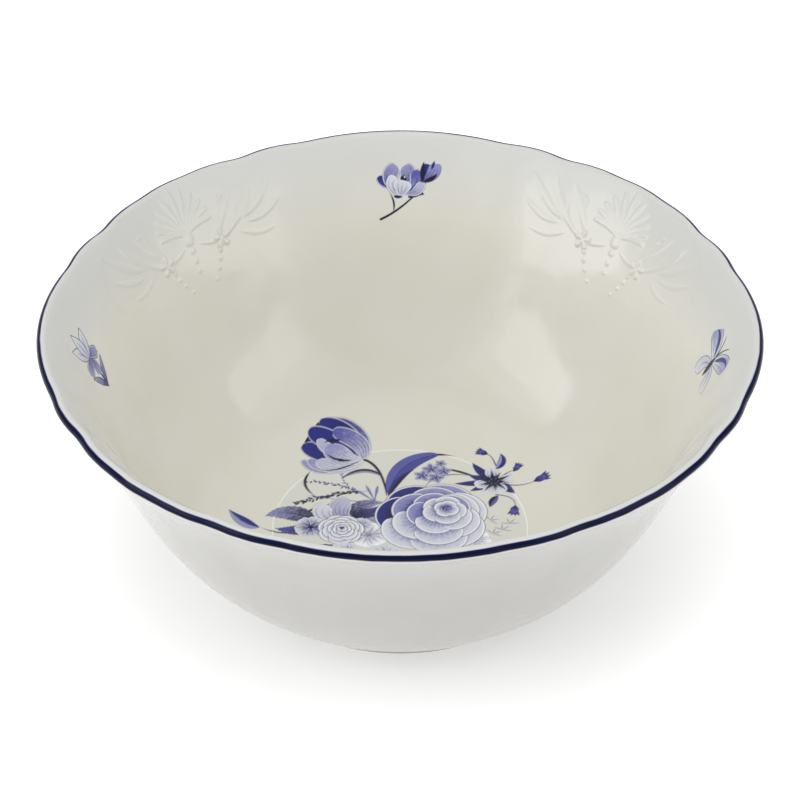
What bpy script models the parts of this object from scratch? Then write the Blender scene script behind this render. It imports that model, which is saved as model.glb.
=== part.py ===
"""Porcelain serving bowl on a foot ring, with a scalloped lip and a cobalt band.

The bowl stands on z = 0 with its axis on +Z. Its front faces -Y. Every piece is a
closed solid of its own: the body, the foot ring, the enamel band that sits in a
shallow rebate round the lip, and the thin decorated transfers that lie on the inside.
"""

import math

import bmesh
import bpy
import numpy as np

# Driving dimensions, metres
HEIGHT = 0.091
RIM_RADIUS = 0.115
LIP_RADIUS = 0.0020
WALL_AT_FOOT = 0.0048
UNDERSIDE_Z = 0.0050
JOINT_RADIUS = 0.0559
WELL_RADIUS = 0.0417
WELL_Z = 0.0102
GAP = 0.0003

# The outer wall is one Bezier curve: its two handles, as (radius, height)
BELLY_HANDLE = (0.0931, 0.0305)
SHOULDER_HANDLE = (0.0910, 0.0621)
# The cove joins the well to the wall, where the wall's parameter is COVE_END
COVE_END = 0.15
COVE_RISE = 8.0
COVE_PULL = 0.0100

# Scalloped edge: one wide lobe on each axis and five narrow ones between two axes.
# Angles run from a lobe's axis to the diagonal, and mirror there.
NOTCH_ANGLES = (17.8, 29.2, 40.2)
NOTCH_RADII = (0.1133, 0.1127, 0.1139)
CREST_RADII = (0.1150, 0.1140, 0.1140, 0.11445)
LOBE_ROUNDNESS = 0.8
NOTCH_SOFTNESS = 1.7
LOBES_FADE_FROM = 0.25
LOBES_FADE_POWER = 1.6
LIP_DIP = 0.3
WIDE_LOBE_STEPS = 6
NARROW_LOBE_STEPS = 4

# Cobalt band round the outside of the lip: from a slope angle down to the wall
BAND_TOP = 66.0
BAND_THICKNESS = 0.0005
BAND_DROP = 0.0012
REBATE_TOP = 76.0
REBATE_DROP = 0.0016

# Foot ring
FOOT_OUTER = 0.0522
FOOT_INNER = 0.0468
FOOT_CHAMFER = 0.0008
FOOT_STEPS = 72

# Transfers: thin films laid on the inside
FILM_THICKNESS = 0.0004
FILM_STEPS = 30
SPRIG_Z = 0.0767
SIDE_MOTIF_Z = 0.0738

GLAZE = (0.80, 0.79, 0.74, 1.0)
BISCUIT = (0.78, 0.75, 0.69, 1.0)
COBALT = (0.012, 0.026, 0.130, 1.0)
INK = (0.13, 0.17, 0.52, 1.0)


def clear_scene():
    for old in list(bpy.data.objects):
        bpy.data.objects.remove(old, do_unlink=True)


def material(name, colour, roughness):
    made = bpy.data.materials.new(name)
    made.use_nodes = True
    shader = made.node_tree.nodes["Principled BSDF"]
    shader.inputs["Base Color"].default_value = colour
    shader.inputs["Roughness"].default_value = roughness
    shader.inputs["Metallic"].default_value = 0.0
    made.diffuse_color = colour
    return made


def finish(name, mesh, look):
    """Closes a bmesh into a named, smooth-shaded object with its own material."""
    bmesh.ops.recalc_face_normals(mesh, faces=mesh.faces)
    data = bpy.data.meshes.new(name)
    mesh.to_mesh(data)
    mesh.free()
    data.materials.append(look)
    data.shade_smooth()
    data.set_sharp_from_angle(angle=math.radians(35))
    made = bpy.data.objects.new(name, data)
    bpy.context.scene.collection.objects.link(made)
    return made


# ---------------------------------------------------------------- wall section


def bezier(points, t):
    a, b, c, d = (np.array(p) for p in points)
    s = 1.0 - t
    return s**3 * a + 3 * s * s * t * b + 3 * s * t * t * c + t**3 * d


def bezier_direction(points, t):
    a, b, c, d = (np.array(p) for p in points)
    s = 1.0 - t
    slope = s * s * (b - a) + 2 * s * t * (c - b) + t * t * (d - c)
    return slope / np.linalg.norm(slope)


def outward(direction):
    """The normal on the right-hand side of a direction in the (radius, height) plane."""
    return np.array((direction[1], -direction[0]))


LIP_CENTRE = np.array((RIM_RADIUS - LIP_RADIUS, HEIGHT - LIP_RADIUS))


def lip_point(slope, radius=LIP_RADIUS):
    """A point of the round lip, where the surface faces up by the given slope angle."""
    turn = math.radians(slope)
    return LIP_CENTRE + radius * np.array((math.cos(turn), math.sin(turn)))


# The lip's outer tangent point continues the shoulder handle's direction
WALL_SLOPE = -math.degrees(
    math.atan2(
        LIP_CENTRE[0] - SHOULDER_HANDLE[0],
        LIP_CENTRE[1] - SHOULDER_HANDLE[1],
    )
)
WALL_TOP = lip_point(WALL_SLOPE)
WALL = ((JOINT_RADIUS, UNDERSIDE_Z), BELLY_HANDLE, SHOULDER_HANDLE, tuple(WALL_TOP))


def outer_wall(t):
    return bezier(WALL, t)


def inner_wall(t):
    """The inside follows the outside at the wall's thickness, which eases to the lip."""
    thickness = WALL_AT_FOOT + (2 * LIP_RADIUS - WALL_AT_FOOT) * t
    return outer_wall(t) - thickness * outward(bezier_direction(WALL, t))


def cove_curve():
    rise = math.radians(COVE_RISE)
    start = np.array((WELL_RADIUS, WELL_Z))
    end = inner_wall(COVE_END)
    first = start + COVE_PULL * np.array((math.cos(rise), math.sin(rise)))
    second = end - COVE_PULL * bezier_direction(WALL, COVE_END)
    return start, first, second, end


def inside_profile(cove_steps=4, wall_steps=10):
    """The inside from the well's edge up to the lip's inner tangent point."""
    cove = cove_curve()
    points = [bezier(cove, i / cove_steps) for i in range(cove_steps)]
    for i in range(wall_steps + 1):
        t = COVE_END + (1.0 - COVE_END) * i / wall_steps
        points.append(inner_wall(t))
    return points


# ------------------------------------------------------------- scalloped edge


def sharp_edge_radius(degrees):
    """Radius of the scallops alone, which meet in a crease at every notch."""
    folded = abs((degrees + 45.0) % 90.0 - 45.0)
    limits = (-NOTCH_ANGLES[0],) + NOTCH_ANGLES + (90.0 - NOTCH_ANGLES[-1],)
    notches = (NOTCH_RADII[0],) + NOTCH_RADII + (NOTCH_RADII[-1],)
    for i, crest in enumerate(CREST_RADII):
        low, high = limits[i], limits[i + 1]
        if folded <= high:
            break
    share = (folded - low) / (high - low)
    base = notches[i] + (notches[i + 1] - notches[i]) * share
    middle = (notches[i] + notches[i + 1]) / 2
    bump = max(math.sin(math.pi * share), 0.0) ** LOBE_ROUNDNESS
    return base + (crest - middle) * bump


def edge_radius(degrees):
    """Radius of the scalloped edge at an angle round the bowl, its notches softened."""
    turns = [NOTCH_SOFTNESS * share for share in (-1.0, -0.5, 0.0, 0.5, 1.0)]
    return sum(sharp_edge_radius(degrees + turn) for turn in turns) / len(turns)


def lobed(point, angle):
    """Turns a section's (radius, height) into space, drawn in and down by the scallops."""
    radius, height = point
    rise = max(height / HEIGHT - LOBES_FADE_FROM, 0.0) / (1.0 - LOBES_FADE_FROM)
    strength = min(rise, 1.0) ** LOBES_FADE_POWER
    drawn = (RIM_RADIUS - edge_radius(math.degrees(angle))) * strength
    reach = radius * (1.0 - drawn / RIM_RADIUS)
    return reach * math.cos(angle), reach * math.sin(angle), height - LIP_DIP * drawn


def lobe_angles():
    """Angles round the bowl, with a station on every crest and every notch."""
    limits = [-NOTCH_ANGLES[0], *NOTCH_ANGLES]
    limits += [90.0 - a for a in reversed(NOTCH_ANGLES)]
    angles = []
    for quarter in range(4):
        for low, high in zip(limits, limits[1:]):
            steps = WIDE_LOBE_STEPS if low < 0 else NARROW_LOBE_STEPS
            for i in range(steps):
                angles.append(90.0 * quarter + low + (high - low) * i / steps)
    return [math.radians(a) for a in angles]


# --------------------------------------------------------------- turned pieces


def ring_of(mesh, point, angles):
    return [mesh.verts.new(lobed(point, a)) for a in angles]


def bridge(mesh, first, second):
    count = len(first)
    for i in range(count):
        j = (i + 1) % count
        mesh.faces.new((first[i], first[j], second[j], second[i]))


def turned_ring(profile, angles):
    """A closed ring whose section is the closed profile."""
    mesh = bmesh.new()
    rings = [ring_of(mesh, point, angles) for point in profile]
    for first, second in zip(rings, rings[1:] + rings[:1]):
        bridge(mesh, first, second)
    return mesh


def arc_points(low, high, radius, steps):
    return [lip_point(low + (high - low) * i / steps, radius) for i in range(steps + 1)]


def along_wall(drop, depth):
    """A point below the lip's outer tangent point, set back into the wall."""
    down = -bezier_direction(WALL, 1.0)
    return WALL_TOP + drop * down - depth * outward(-down)


def body_section(wall_steps=8):
    """The body's section from the underside's edge, up the outside and down the inside."""
    rebate = BAND_THICKNESS + GAP
    wall_end = 0.975
    points = [outer_wall(wall_end * i / wall_steps) for i in range(wall_steps + 1)]
    points.append(along_wall(REBATE_DROP, 0.0))
    points.append(along_wall(REBATE_DROP, rebate))
    points += arc_points(WALL_SLOPE, REBATE_TOP, LIP_RADIUS - rebate, 3)
    points += arc_points(REBATE_TOP, 180.0 + WALL_SLOPE, LIP_RADIUS, 3)[:-1]
    points += reversed(inside_profile())
    return points


def make_body(look):
    angles = lobe_angles()
    mesh = bmesh.new()
    rings = [ring_of(mesh, point, angles) for point in body_section()]
    for first, second in zip(rings, rings[1:]):
        bridge(mesh, first, second)
    for ring, height in ((rings[0], UNDERSIDE_Z), (rings[-1], WELL_Z)):
        middle = mesh.verts.new((0.0, 0.0, height))
        for i, corner in enumerate(ring):
            mesh.faces.new((corner, ring[(i + 1) % len(ring)], middle))
    return finish("bowl_body", mesh, look)


def make_foot(look):
    top = UNDERSIDE_Z - GAP
    profile = (
        (FOOT_INNER, FOOT_CHAMFER),
        (FOOT_INNER + FOOT_CHAMFER, 0.0),
        (FOOT_OUTER - FOOT_CHAMFER, 0.0),
        (FOOT_OUTER, FOOT_CHAMFER),
        (FOOT_OUTER + 0.0012, 0.6 * top),
        (JOINT_RADIUS - GAP, top),
        (FOOT_INNER - 0.0008, top),
    )
    angles = [2 * math.pi * i / FOOT_STEPS for i in range(FOOT_STEPS)]
    return finish("foot_ring", turned_ring(profile, angles), look)


def make_band(look):
    outer = arc_points(BAND_TOP, WALL_SLOPE, LIP_RADIUS, 3)
    inner = arc_points(WALL_SLOPE, BAND_TOP, LIP_RADIUS - BAND_THICKNESS, 3)
    outer.append(along_wall(BAND_DROP, 0.0))
    outer.append(along_wall(BAND_DROP, BAND_THICKNESS))
    return finish("rim_band", turned_ring(outer + inner, lobe_angles()), look)


# ------------------------------------------------------------------ transfers


class InsideSurface:
    """The inside as a surface: how far from the axis along the section, and the angle."""

    def __init__(self):
        profile = [np.array((0.0, WELL_Z))] + inside_profile(24, 60)
        self.points = np.array(profile)
        steps = np.linalg.norm(np.diff(self.points, axis=0), axis=1)
        self.travel = np.concatenate(((0.0,), np.cumsum(steps)))

    def section(self, travel):
        radius = np.interp(travel, self.travel, self.points[:, 0])
        height = np.interp(travel, self.travel, self.points[:, 1])
        return np.array((radius, height))

    def travel_at_height(self, height):
        return float(np.interp(height, self.points[1:, 1], self.travel[1:]))

    def point(self, travel, angle, lift):
        reach = 0.0005
        ahead = self.section(travel + reach) - self.section(travel - reach)
        ahead /= np.linalg.norm(ahead)
        return lobed(self.section(travel) - lift * outward(ahead), angle)


def lobed_outline(width, depth, tilt, lobes, swell):
    """A tilted oval with a wavy edge, as a distance for each direction."""

    def distance(turn):
        local = turn - math.radians(tilt)
        oval = 1.0 / math.hypot(math.cos(local) / width, math.sin(local) / depth)
        return oval * (1.0 + swell * math.cos(lobes * local))

    return distance


def film(name, outline, place, rings, look):
    """A thin closed film: place(across, up, lift) puts its flat points on the inside."""
    mesh = bmesh.new()
    turns = [2 * math.pi * i / FILM_STEPS for i in range(FILM_STEPS)]
    edges = []
    for lift in (GAP, GAP + FILM_THICKNESS):
        inner = None
        middle = mesh.verts.new(place(0.0, 0.0, lift))
        for k in range(1, rings + 1):
            ring = []
            for turn in turns:
                reach = outline(turn) * k / rings
                spot = place(reach * math.cos(turn), reach * math.sin(turn), lift)
                ring.append(mesh.verts.new(spot))
            if inner is None:
                for i, corner in enumerate(ring):
                    mesh.faces.new((corner, ring[(i + 1) % FILM_STEPS], middle))
            else:
                bridge(mesh, inner, ring)
            inner = ring
        edges.append(inner)
    bridge(mesh, *edges)
    return finish(name, mesh, look)


def on_wall(surface, height, degrees):
    """Places a film on the wall: across runs clockwise seen from above, up runs to the lip."""
    start = surface.travel_at_height(height)
    radius = surface.section(start)[0]

    def place(across, up, lift):
        return surface.point(start + up, math.radians(degrees) - across / radius, lift)

    return place


def in_well(surface, centre):
    """Places a film over the well, by its plan position."""
    plan = surface.points[:, 0]

    def place(across, up, lift):
        x = centre[0] + across
        y = centre[1] + up
        travel = float(np.interp(math.hypot(x, y), plan, surface.travel))
        return surface.point(max(travel, 0.0006), math.atan2(y, x), lift)

    return place


def make_transfers(look):
    surface = InsideSurface()
    bouquet = lobed_outline(0.0565, 0.0465, 12.0, 3, 0.0)
    film("bouquet_transfer", bouquet, in_well(surface, (-0.0040, 0.0120)), 7, look)
    sprig = lobed_outline(0.0152, 0.0112, 42.0, 2, 0.04)
    film("rose_sprig_transfer", sprig, on_wall(surface, SPRIG_Z, 89.0), 3, look)
    iris = lobed_outline(0.0128, 0.0124, 30.0, 3, 0.05)
    film("iris_transfer", iris, on_wall(surface, SIDE_MOTIF_Z, 176.6), 3, look)
    wings = lobed_outline(0.0128, 0.0122, 60.0, 3, 0.05)
    film("butterfly_transfer", wings, on_wall(surface, SIDE_MOTIF_Z, 3.0), 3, look)
    spray = lobed_outline(0.0112, 0.0124, 0.0, 2, 0.05)
    film("bellflower_transfer", spray, on_wall(surface, SPRIG_Z, 270.0), 3, look)


def main():
    clear_scene()
    make_body(material("glazed porcelain", GLAZE, 0.12))
    make_foot(material("unglazed biscuit", BISCUIT, 0.60))
    make_band(material("cobalt enamel", COBALT, 0.10))
    make_transfers(material("printed enamel", INK, 0.18))


main()
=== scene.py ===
"""Looks of the porcelain serving bowl: glaze, embossed sprays, cobalt band, blue flowers.

Every piece lies on the bowl's own section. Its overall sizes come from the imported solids,
and its curves repeat the ones that the CAD was made from. Geometry is in metres.
Drawings are in millimetres on the flat of each transfer: the first coordinate runs to the
right as seen from inside, the second up towards the lip.
"""

import math

import bpy
import numpy as np
from mathutils import Matrix, Vector


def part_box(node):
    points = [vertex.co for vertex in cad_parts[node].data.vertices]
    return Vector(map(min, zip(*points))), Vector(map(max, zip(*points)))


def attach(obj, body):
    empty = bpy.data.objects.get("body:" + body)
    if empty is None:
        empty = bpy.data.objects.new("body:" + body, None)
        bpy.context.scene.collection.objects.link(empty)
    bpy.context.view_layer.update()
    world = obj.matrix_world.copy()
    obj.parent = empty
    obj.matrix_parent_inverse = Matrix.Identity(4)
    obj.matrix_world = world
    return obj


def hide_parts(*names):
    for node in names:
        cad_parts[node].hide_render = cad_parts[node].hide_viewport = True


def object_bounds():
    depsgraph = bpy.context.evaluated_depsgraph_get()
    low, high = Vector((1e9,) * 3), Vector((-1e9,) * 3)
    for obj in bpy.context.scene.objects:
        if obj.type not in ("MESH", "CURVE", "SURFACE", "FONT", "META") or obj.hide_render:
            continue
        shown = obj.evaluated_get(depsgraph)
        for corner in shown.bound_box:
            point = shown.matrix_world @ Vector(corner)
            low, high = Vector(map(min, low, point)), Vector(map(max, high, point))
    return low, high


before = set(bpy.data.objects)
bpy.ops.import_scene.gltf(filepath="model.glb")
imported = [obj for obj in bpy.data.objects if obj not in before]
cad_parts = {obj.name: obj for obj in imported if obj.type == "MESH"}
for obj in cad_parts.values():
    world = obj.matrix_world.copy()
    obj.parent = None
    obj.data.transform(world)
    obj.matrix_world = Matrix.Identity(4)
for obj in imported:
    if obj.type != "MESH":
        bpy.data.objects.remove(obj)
CAD_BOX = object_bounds()

# Driving dimensions, metres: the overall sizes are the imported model's own
HEIGHT = CAD_BOX[1][2]
RIM_RADIUS = CAD_BOX[1][0]
FOOT_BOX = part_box("foot_ring")
GAP = 0.0003
UNDERSIDE_Z = FOOT_BOX[1][2] + GAP
JOINT_RADIUS = FOOT_BOX[1][0] + GAP
LIP_RADIUS = 0.0020
WALL_AT_FOOT = 0.0048
WELL_RADIUS = 0.0417
WELL_Z = 0.0102
BELLY_HANDLE = (0.0931, 0.0305)
SHOULDER_HANDLE = (0.0910, 0.0621)
COVE_END = 0.15
COVE_RISE = 8.0
COVE_PULL = 0.0100
RIDGE_HEIGHT = 0.00026
RIDGE_WIDTH = 0.00045

# Foot ring: radii and heights of its section's curves, clockwise from inside
FOOT_SUNK = UNDERSIDE_Z + 0.0004
FOOT_INNER = ((0.0455, FOOT_SUNK), (0.0464, 0.0042), (0.0468, 0.0012))
FOOT_TREAD = ((0.0468, 0.0012), (0.0468, 0.0), (0.0480, 0.0), (0.0495, 0.0))
FOOT_TREAD_OUT = ((0.0495, 0.0), (0.0518, 0.0), (0.0522, 0.0002), (0.0522, 0.0010))
FOOT_OUTER = ((0.0522, 0.0010), (0.0524, 0.0036), (0.0538, 0.0046), (JOINT_RADIUS, FOOT_SUNK))

# Scalloped edge: angles in degrees from a wide lobe's axis, mirrored about the diagonal
LOBE_LIMITS = (-17.8, 17.8, 29.2, 40.2, 49.8)
NOTCH_RADII = (0.1133, 0.1133, 0.1127, 0.1139, 0.1139)
CREST_RADII = (0.1150, 0.1140, 0.1140, 0.11445)
LOBE_ROUNDNESS = 0.8
NOTCH_SOFTNESS = 1.7
LOBES_FADE_FROM = 0.25
LOBES_FADE_POWER = 1.6
LIP_DIP = 0.3
LOBE_STEPS = (60, 18, 18, 18, 18, 18)

# Skins over the body, in metres above its surface
FILM_LIFT = 0.00003

# Cobalt band: slopes round the lip's section in degrees, 0 facing out and 90 facing up.
# The swing takes its upper edge further over the lip behind than in front.
BAND_STRIP = (106.0, -32.0)
BAND_FROM = 73.0
BAND_SWING = 18.0
BAND_TO = -5.0

# Camera, matched to the picture's outline: degrees above the horizon and round the axis
CAMERA_RISE = 36.85
CAMERA_TURN = 0.55
CAMERA_DISTANCE = 12.24 * RIM_RADIUS
CAMERA_DROP = 0.1976 * RIM_RADIUS
CAMERA_LENS = 200.2

# Studio: the floor's own light, the world's, and the lamps' watts
FLOOR_GLOW = 0.26
WORLD_GLOW = 0.55
OVERHEAD = 31.0
LEFT_SOFTBOX = 3.8
RIGHT_SOFTBOX = 2.3


def ink(red, green, blue):
    """A screen colour as the linear colour of fired enamel."""
    shown = np.array((red, green, blue)) / 255.0
    return np.where(shown <= 0.04045, shown / 12.92, ((shown + 0.055) / 1.055) ** 2.4)


NIGHT = ink(10, 12, 42)
COBALT = ink(32, 37, 120)
VIOLET = ink(80, 83, 156)
LILAC = ink(137, 139, 182)
MIST = ink(174, 176, 198)
PEARL = ink(203, 205, 214)
WHITE = ink(232, 233, 237)
GREY = ink(128, 132, 148)
BAND_BLUE = ink(5, 10, 42)


# ---------------------------------------------------------------- curves


def bezier(points, t):
    """Points of a Bezier curve of any degree."""
    t = np.asarray(t, float)[..., None]
    points = [np.asarray(p, float) for p in points]
    while len(points) > 1:
        points = [a + (b - a) * t for a, b in zip(points, points[1:])]
    return points[0]


def smooth(x):
    x = np.clip(x, 0.0, 1.0)
    return x * x * (3.0 - 2.0 * x)


def turned(points, degrees, at=(0.0, 0.0)):
    """Points turned about the origin and moved."""
    turn = math.radians(degrees)
    across = np.array((math.cos(turn), math.sin(turn)))
    up = np.array((-math.sin(turn), math.cos(turn)))
    points = np.asarray(points, float)
    return np.asarray(at) + (points[..., :1] * across + points[..., 1:] * up)


def polar(degrees, reach, at=(0.0, 0.0)):
    turn = math.radians(degrees)
    return np.asarray(at) + reach * np.array((math.cos(turn), math.sin(turn)))


# --------------------------------------------------------------- drawing

# How a shape narrows to its two ends: powers of the way along and of the way left
LEAF = (0.9, 1.1)
ROUND = (0.75, 0.30)
OVAL = (0.5, 0.5)
STEM = (0.0, 0.35)


class Drawing:
    """Ink and relief on the flat points of a transfer.

    Ink is kept as colour already multiplied by its cover, as enamel lies over glaze.
    """

    def __init__(self, flat, grain):
        self.flat = flat
        self.grain = grain
        self.ink = np.zeros((len(flat), 3))
        self.cover = np.zeros(len(flat))
        self.relief = np.zeros(len(flat))
        self.mottle = self.make_mottle()

    def make_mottle(self):
        """Soft unevenness of the wash, from -1 to 1."""
        chance = np.random.default_rng(5)
        total = np.zeros(len(self.flat))
        for size in (4.0, 2.2, 1.3, 0.8):
            for _ in range(3):
                turn = chance.uniform(0.0, math.pi)
                wave = np.array((math.cos(turn), math.sin(turn))) * 2 * math.pi / size
                total += np.sin(self.flat @ wave + chance.uniform(0.0, 2 * math.pi))
        return total / 6.0

    def within(self, points, width, ends):
        """The flat points near a shape: how far along, how far across, depth inside."""
        spine = bezier(points, np.linspace(0.0, 1.0, 22))
        reach = width + 1.5
        low = spine.min(0) - reach
        high = spine.max(0) + reach
        where = np.flatnonzero(np.all((self.flat > low) & (self.flat < high), axis=1))
        spots = self.flat[where]
        steps = np.diff(spine, axis=0)
        lengths = np.maximum(np.linalg.norm(steps, axis=1), 1e-6)
        travel = np.concatenate(((0.0,), np.cumsum(lengths)))
        nearest = np.full(len(where), np.inf)
        along = np.zeros(len(where))
        across = np.zeros(len(where))
        for i, step in enumerate(steps):
            local = spots - spine[i]
            share = np.clip(local @ step / lengths[i] ** 2, 0.0, 1.0)
            gap = local - share[:, None] * step
            far = np.hypot(gap[:, 0], gap[:, 1])
            side = np.sign(step[0] * local[:, 1] - step[1] * local[:, 0])
            closer = far < nearest
            nearest = np.where(closer, far, nearest)
            along = np.where(closer, travel[i] + share * lengths[i], along)
            across = np.where(closer, far * side, across)
        along /= travel[-1]
        first, last = ends
        peak = first / (first + last) if first + last else 0.5
        top = peak**first * (1.0 - peak) ** last
        half = width * along**first * (1.0 - along) ** last / top
        edge = half - nearest
        return where, along, across / np.maximum(half, 1e-6), edge

    def share(self, depth):
        return np.clip(depth / self.grain + 0.5, 0.0, 1.0)

    def lay(self, where, colour, strength):
        keep = 1.0 - strength
        self.ink[where] = self.ink[where] * keep[:, None] + colour * strength[:, None]
        self.cover[where] = 1.0 - (1.0 - self.cover[where]) * keep

    def stroke(self, points, width, colour=NIGHT, ends=LEAF, strength=1.0):
        where, _, _, edge = self.within(points, width, ends)
        self.lay(where, colour, strength * self.share(edge))

    def petal(self, points, width, tones, ends=ROUND, rim=0.3, line=0.14, veins=0):
        """A petal or leaf: a dark outline, a pale rim and a wash from base to tip."""
        where, along, across, edge = self.within(points, width, ends)
        base, tip = tones
        wash = smooth(along + 0.16 * self.mottle[where])
        colour = base + (tip - base) * wash[:, None]
        if veins:
            hatch = smooth(np.cos(math.pi * veins * across) * 2.5 - 1.2)
            hatch *= smooth(1.35 - 1.3 * along) * smooth(edge / 0.5)
            colour = colour + (NIGHT - colour) * (0.55 * hatch)[:, None]
        self.lay(where, NIGHT, 0.9 * self.share(edge + line))
        if rim > 0:
            self.lay(where, WHITE, self.share(edge))
        self.lay(where, colour, self.share((edge - rim) * 0.8))

    def cup(self, points, width, tones, veins=9, rim=0.4, line=0.28):
        """A petal seen from its open side: a crescent, dark inside and pale at the lip."""
        where, along, across, edge = self.within(points, width, OVAL)
        deep, lip = tones
        wash = smooth(0.42 - 0.62 * across + 0.16 * self.mottle[where])
        colour = deep + (lip - deep) * wash[:, None]
        hatch = smooth(1.6 * np.cos(2 * math.pi * veins * (along + 0.03 * across)) - 0.5)
        hatch *= smooth(0.45 + 0.9 * across) * smooth(edge / 0.8)
        colour = colour + (NIGHT - colour) * (0.5 * hatch)[:, None]
        outer = rim * smooth(0.6 - 1.4 * across)
        self.lay(where, NIGHT, 0.85 * self.share(edge + line))
        self.lay(where, WHITE, self.share(edge))
        self.lay(where, colour, self.share((edge - 0.05 - outer) * 0.8))

    def dot(self, at, radius, colour=NIGHT, strength=1.0):
        gap = np.hypot(self.flat[:, 0] - at[0], self.flat[:, 1] - at[1])
        where = np.flatnonzero(gap < radius + 1.0)
        self.lay(where, colour, strength * self.share(radius - gap[where]))

    def emboss(self, points, width, ends, rise):
        """Raises a rounded rib out of the flat."""
        where, _, across, edge = self.within(points, width, ends)
        dome = np.sqrt(np.clip(1.0 - across**2, 0.0, 1.0)) * smooth(edge / (0.6 * width))
        self.relief[where] = np.maximum(self.relief[where], rise * dome)

    def stud(self, at, radius, rise):
        gap = np.hypot(self.flat[:, 0] - at[0], self.flat[:, 1] - at[1]) / radius
        dome = rise * np.sqrt(np.clip(1.0 - gap**2, 0.0, 1.0))
        self.relief = np.maximum(self.relief, dome)


# ------------------------------------------------------------- plant parts


def two_tone_leaf(art, points, width, dark=COBALT, light=VIOLET, ends=LEAF):
    """A long leaf with one half in shade and a dark midrib."""
    where, _, across, edge = art.within(points, width, ends)
    shade = smooth(0.5 + 3.0 * across + 0.4 * art.mottle[where])
    colour = dark + (light - dark) * shade[:, None]
    art.lay(where, NIGHT, 0.9 * art.share(edge + 0.14))
    art.lay(where, colour, art.share(edge))
    rib = smooth(1.0 - np.abs(across) * width / 0.28)
    art.lay(where, NIGHT, 0.8 * rib * art.share(edge))


def veined_leaf(art, points, width, tones, count=6):
    """A leaf with side veins, its edge slightly toothed."""
    where, along, across, edge = art.within(points, width, LEAF)
    base, tip = tones
    colour = base + (tip - base) * smooth(along + 0.25 * art.mottle[where])[:, None]
    vein = smooth(np.cos(2 * math.pi * (count * along - 1.6 * np.abs(across))) * 3 - 1.8)
    rib = smooth(1.0 - np.abs(across) * width / 0.3)
    dark = np.maximum(0.7 * vein * (1 - 0.5 * along), rib)
    colour = colour + (NIGHT - colour) * (0.8 * dark)[:, None]
    tooth = 0.12 * np.cos(2 * math.pi * 2 * count * along)
    art.lay(where, NIGHT, 0.85 * art.share(edge + tooth + 0.14))
    art.lay(where, colour, art.share(edge + tooth - 0.05))


def round_blossom(art, at, radius, petals, tones, turn=0.0, heart=NIGHT):
    """A small open flower seen face on, its petals overlapping in order."""
    for i in range(petals):
        way = turn + 360.0 * i / petals
        start = polar(way, 0.05 * radius, at)
        end = polar(way, radius, at)
        art.petal((start, end), 0.50 * radius, tones, rim=0.22, line=0.10, veins=3)
    art.dot(at, 0.16 * radius, heart)


def star_blossom(art, at, radius, turn):
    """A tiny five-pointed flower with dark tips."""
    for i in range(5):
        way = turn + 72.0 * i
        tip = polar(way, radius, at)
        art.petal((at, tip), 0.30 * radius, (COBALT, LILAC), OVAL, rim=0.12, line=0.16)
    art.dot(at, 0.40, NIGHT)


def tufted_bud(art, at, way, size):
    """A nodding bud: a dark cup with three or four tufts at its mouth."""
    for spread in (-34.0, -12.0, 12.0, 34.0):
        tip = polar(way + spread, 1.35 * size, at)
        art.petal((at, tip), 0.22 * size, (VIOLET, COBALT), ends=LEAF, rim=0.0, line=0.1)
    back = polar(way + 180.0, 0.65 * size, at)
    front = polar(way, 0.75 * size, at)
    art.petal((back, front), 0.52 * size, (COBALT, VIOLET), ends=OVAL, rim=0.0, veins=3)
    art.dot(back, 0.22 * size, NIGHT)


def seed_spike(art, points, count, size, chance, tone=NIGHT):
    """A stem with uneven dark leaflets on both sides, as on lavender."""
    art.stroke(points, 0.14, VIOLET, ends=STEM, strength=0.8)
    spots = bezier(points, np.linspace(0.12, 1.0, count))
    ahead = bezier(points, np.linspace(0.14, 1.02, count)) - spots
    for spot, step in zip(spots, ahead):
        way = math.degrees(math.atan2(step[1], step[0]))
        for side in (-1.0, 1.0):
            lean = side * chance.uniform(18.0, 62.0)
            grow = size * chance.uniform(0.45, 1.1)
            root = spot + chance.uniform(-0.35, 0.35, 2)
            art.stroke((root, polar(way + lean, grow, root)), 0.2 * size, tone, ends=LEAF)


def cup_ring(art, at, reach, width, ways, span, tones):
    """A ring of cupped petals, each laid over the one before."""
    for way, shades in zip(ways, tones):
        path = [
            polar(way + lean, reach * out)
            for lean, out in ((-span / 2, 0.92), (0.0, 1.30), (span / 2, 0.92))
        ]
        art.cup([at + p for p in path], width, shades)


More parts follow.
